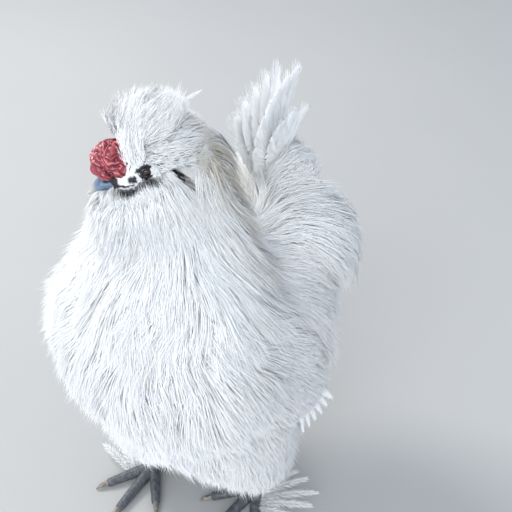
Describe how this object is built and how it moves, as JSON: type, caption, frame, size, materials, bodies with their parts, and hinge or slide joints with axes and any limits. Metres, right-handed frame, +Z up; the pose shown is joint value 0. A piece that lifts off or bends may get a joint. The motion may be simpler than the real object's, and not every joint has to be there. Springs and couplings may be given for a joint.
{
  "type": "silkie chicken",
  "caption": "Life-size standing silkie cock with rounded crest, walnut comb, full beard, raised saddle cushion, short fanned tail and feathered five-toed feet.",
  "frame": {"origin": "floor point under the middle of the bird's box", "axes": "+Z up, -Y the way the bird's body faces, +X the bird's left side"},
  "size_m": [0.1956, 0.255, 0.3591],
  "materials": {
    "plumage": "soft white silky down with a faint cream stain, matte",
    "comb": "crimson pebbled flesh, slightly glossy",
    "beak": "slate-blue horn with a pale tip, satin",
    "face_skin": "dark mulberry skin, finely wrinkled, matte",
    "eye": "black, wet gloss",
    "ear_lobe": "dark bluish-purple skin, matte",
    "foot_skin": "dark slate scaled skin, matte",
    "claw": "grey horn, satin"
  },
  "bodies": {
    "root": {"beak_lower": "beak", "beak_upper": "beak", "beard": "plumage", "claw_left_fifth": "claw", "claw_left_hind": "claw", "claw_left_inner": "claw", "claw_left_middle": "claw", "claw_left_outer": "claw", "claw_right_fifth": "claw", "claw_right_hind": "claw", "claw_right_inner": "claw", "claw_right_middle": "claw", "claw_right_outer": "claw", "comb": "comb", "crest": "plumage", "ear_lobe_left": "ear_lobe", "ear_lobe_right": "ear_lobe", "eye_left": "eye", "eye_right": "eye", "foot_left": "foot_skin", "foot_right": "foot_skin", "head": "face_skin", "neck": "plumage", "saddle": "plumage", "tail": "plumage", "thigh_left": "plumage", "thigh_right": "plumage", "torso": "plumage", "wing_left": "plumage", "wing_right": "plumage"}
  },
  "joints": []
}
